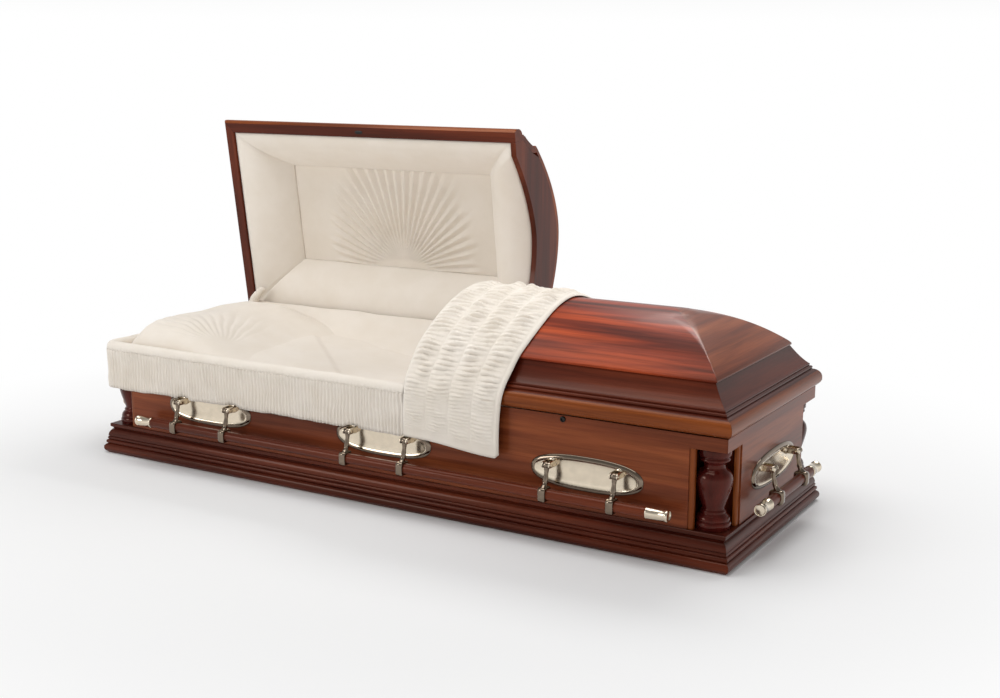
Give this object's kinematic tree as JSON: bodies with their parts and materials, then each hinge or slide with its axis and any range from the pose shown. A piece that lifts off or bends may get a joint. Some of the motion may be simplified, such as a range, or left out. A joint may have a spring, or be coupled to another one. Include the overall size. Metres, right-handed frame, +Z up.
{
  "type": "funeral casket",
  "caption": "Half-couch wooden funeral casket with domed lids, corner urns, swing bar handles and padded velvet interior.",
  "frame": {"origin": "centre of the underside, on the plane it stands on", "axes": "+X along the length towards the foot end, -Y towards the front, where the lids open, +Z up"},
  "size_m": [2.2264, 0.9465, 1.0373],
  "materials": {
    "lacquered_wood": "red-brown stained wood under high-gloss lacquer",
    "dark_wood": "dark maroon high-gloss lacquer",
    "plain_wood": "bare board",
    "champagne_nickel": "polished pale bronze plating",
    "ivory_velvet": "matt ivory velvet"
  },
  "bodies": {
    "shell": {"back_plate_1": "champagne_nickel", "back_plate_2": "champagne_nickel", "back_plate_3": "champagne_nickel", "base_rail_back": "lacquered_wood", "base_rail_foot": "lacquered_wood", "base_rail_front": "lacquered_wood", "base_rail_head": "lacquered_wood", "bed_board": "plain_wood", "body_lining": "ivory_velvet", "bottom_board": "plain_wood", "corner_post_back_foot": "lacquered_wood", "corner_post_back_head": "lacquered_wood", "corner_post_front_foot": "lacquered_wood", "corner_post_front_head": "lacquered_wood", "foot_plate": "champagne_nickel", "front_plate_1": "champagne_nickel", "front_plate_2": "champagne_nickel", "front_plate_3": "champagne_nickel", "head_plate": "champagne_nickel", "mattress": "ivory_velvet", "panel_back": "lacquered_wood", "panel_foot": "lacquered_wood", "panel_front": "lacquered_wood", "panel_head": "lacquered_wood", "pillow": "ivory_velvet", "urn_back_foot": "dark_wood", "urn_back_head": "dark_wood", "urn_front_foot": "dark_wood", "urn_front_head": "dark_wood"},
    "head_lid": {"head_lid_crown": "lacquered_wood", "head_lid_lining": "ivory_velvet", "head_lid_rail_back": "lacquered_wood", "head_lid_rail_end": "lacquered_wood", "head_lid_rail_front": "lacquered_wood"},
    "foot_lid": {"foot_lid_crown": "lacquered_wood", "foot_lid_rail_back": "lacquered_wood", "foot_lid_rail_end": "lacquered_wood", "foot_lid_rail_front": "lacquered_wood", "overlay": "ivory_velvet"},
    "front_handle": {"front_arm_1": "champagne_nickel", "front_arm_2": "champagne_nickel", "front_arm_3": "champagne_nickel", "front_arm_4": "champagne_nickel", "front_arm_5": "champagne_nickel", "front_arm_6": "champagne_nickel", "front_bar": "lacquered_wood"},
    "back_handle": {"back_arm_1": "champagne_nickel", "back_arm_2": "champagne_nickel", "back_arm_3": "champagne_nickel", "back_arm_4": "champagne_nickel", "back_arm_5": "champagne_nickel", "back_arm_6": "champagne_nickel", "back_bar": "lacquered_wood"},
    "foot_handle": {"foot_arm_1": "champagne_nickel", "foot_arm_2": "champagne_nickel", "foot_bar": "lacquered_wood"},
    "head_handle": {"head_arm_1": "champagne_nickel", "head_arm_2": "champagne_nickel", "head_bar": "lacquered_wood"}
  },
  "joints": [
    {"name": "head_lid_hinge", "type": "hinge", "parent": "shell", "child": "head_lid", "pos_m": [0, 0.347, 0.3435], "axis": [1, 0, 0], "range_deg": [0, 82]},
    {"name": "foot_lid_hinge", "type": "hinge", "parent": "shell", "child": "foot_lid", "pos_m": [0, 0.347, 0.3435], "axis": [-1, 0, 0], "range_deg": [0, 82]},
    {"name": "front_handle_swing", "type": "hinge", "parent": "shell", "child": "front_handle", "pos_m": [0, -0.3726, 0.2125], "axis": [-1, 0, 0], "range_deg": [0, 85]},
    {"name": "back_handle_swing", "type": "hinge", "parent": "shell", "child": "back_handle", "pos_m": [0, 0.3726, 0.2125], "axis": [1, 0, 0], "range_deg": [0, 85]},
    {"name": "foot_handle_swing", "type": "hinge", "parent": "shell", "child": "foot_handle", "pos_m": [1.0816, 0, 0.2125], "axis": [0, -1, 0], "range_deg": [0, 85]},
    {"name": "head_handle_swing", "type": "hinge", "parent": "shell", "child": "head_handle", "pos_m": [-1.0816, 0, 0.2125], "axis": [0, 1, 0], "range_deg": [0, 85]}
  ]
}
